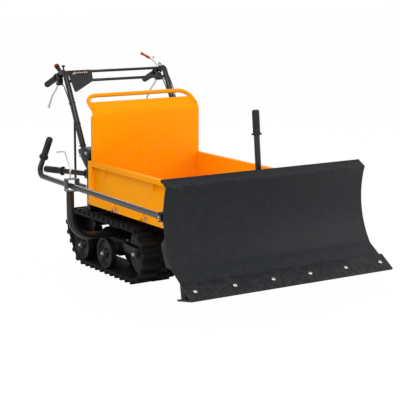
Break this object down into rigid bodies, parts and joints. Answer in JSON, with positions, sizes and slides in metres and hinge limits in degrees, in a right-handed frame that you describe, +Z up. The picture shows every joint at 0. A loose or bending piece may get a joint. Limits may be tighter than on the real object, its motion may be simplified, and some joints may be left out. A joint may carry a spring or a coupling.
{
  "type": "walk-behind tracked carrier with dump bed and plough blade",
  "caption": "Walk-behind crawler carrier: orange tipping bed with sliding side walls and high headboard, rubber tracks, rear engine and handlebar, angling plough blade in front.",
  "frame": {"origin": "on the ground, under the middle of the whole machine's bounding box", "axes": "+X to the machine's left, -Y to the front where the plough blade is, +Z up"},
  "size_m": [1.104, 1.8288, 1.043],
  "materials": {
    "rubber": "matt moulded rubber",
    "grip": "matt ribbed rubber",
    "frame_paint": "black semi-gloss paint",
    "blade_paint": "anthracite powder coat, slight sheen",
    "bed_paint": "bright orange gloss powder coat",
    "tube_paint": "black gloss paint",
    "zinc": "zinc plated",
    "engine_paint": "black satin paint",
    "cast": "sand-cast, matt",
    "plastic": "black grained plastic",
    "red": "red gloss plastic",
    "console_paint": "dark grey powder coat"
  },
  "bodies": {
    "chassis": {"rubber_track_right": "rubber", "road_rollers_right": "frame_paint", "front_idler_right": "frame_paint", "track_frame_right": "frame_paint", "drive_sprocket_right": "frame_paint", "rubber_track_left": "rubber", "road_rollers_left": "frame_paint", "front_idler_left": "frame_paint", "track_frame_left": "frame_paint", "drive_sprocket_left": "frame_paint", "main_frame": "frame_paint", "lift_bracket": "frame_paint", "bed_rest_pads": "rubber", "engine_deck": "frame_paint", "gearbox": "cast", "belt_cover": "engine_paint", "engine_block": "cast", "fuel_tank": "engine_paint", "recoil_starter": "engine_paint", "muffler": "zinc", "air_filter": "plastic", "handlebar_posts": "frame_paint", "handlebar": "tube_paint", "hand_grips": "grip", "handlebar_struts": "tube_paint", "console_plate": "console_paint", "clutch_levers": "zinc", "stop_switch": "red", "throttle_lever": "plastic", "plough_column": "tube_paint", "rod_guide": "tube_paint", "lock_pin": "zinc", "hand_lever": "tube_paint"},
    "dump_bed": {"bed_floor": "bed_paint", "headboard": "bed_paint", "front_wall": "bed_paint", "bed_pins": "zinc"},
    "side_wall_right": {"side_wall_right": "bed_paint"},
    "side_wall_left": {"side_wall_left": "bed_paint"},
    "plough_arm": {"plough_arm": "frame_paint", "lift_lever": "tube_paint"},
    "plough_blade": {"moldboard": "blade_paint", "cutting_strip": "blade_paint", "skid_shoes": "blade_paint"},
    "rod_knuckle": {"rod_knuckle": "tube_paint"},
    "angle_rod": {"angle_rod": "tube_paint"}
  },
  "joints": [
    {"name": "bed_tip", "type": "hinge", "parent": "chassis", "child": "dump_bed", "pos_m": [0, -0.23, 0.3], "axis": [1, 0, 0], "range_deg": [0, 45]},
    {"name": "side_slide_right", "type": "slide", "parent": "dump_bed", "child": "side_wall_right", "axis": [-1, 0, 0], "range_m": [0, 0.1]},
    {"name": "side_slide_left", "type": "slide", "parent": "dump_bed", "child": "side_wall_left", "axis": [1, 0, 0], "range_m": [0, 0.1]},
    {"name": "plough_lift", "type": "hinge", "parent": "chassis", "child": "plough_arm", "pos_m": [0, -0.175, 0.11], "axis": [1, 0, 0], "range_deg": [0, 10]},
    {"name": "plough_angle", "type": "hinge", "parent": "plough_arm", "child": "plough_blade", "pos_m": [0, -0.67002, 0.26837], "axis": [0, 0.1736, 0.9848], "range_deg": [-15, 15]},
    {"name": "rod_yaw", "type": "hinge", "parent": "plough_blade", "child": "rod_knuckle", "pos_m": [-0.53, -0.64774, 0.45229], "axis": [0.0958, 0.1728, 0.9803], "range_deg": [-15.5, 15.5]},
    {"name": "rod_pitch", "type": "hinge", "parent": "rod_knuckle", "child": "angle_rod", "pos_m": [-0.53, -0.64774, 0.45229], "axis": [1, 0, 0], "range_deg": [-5, 1]}
  ],
  "couplings": [
    {"joint": "rod_yaw", "follows": "plough_angle", "ratio": -1},
    {"joint": "rod_pitch", "follows": "plough_lift", "ratio": -0.44}
  ]
}
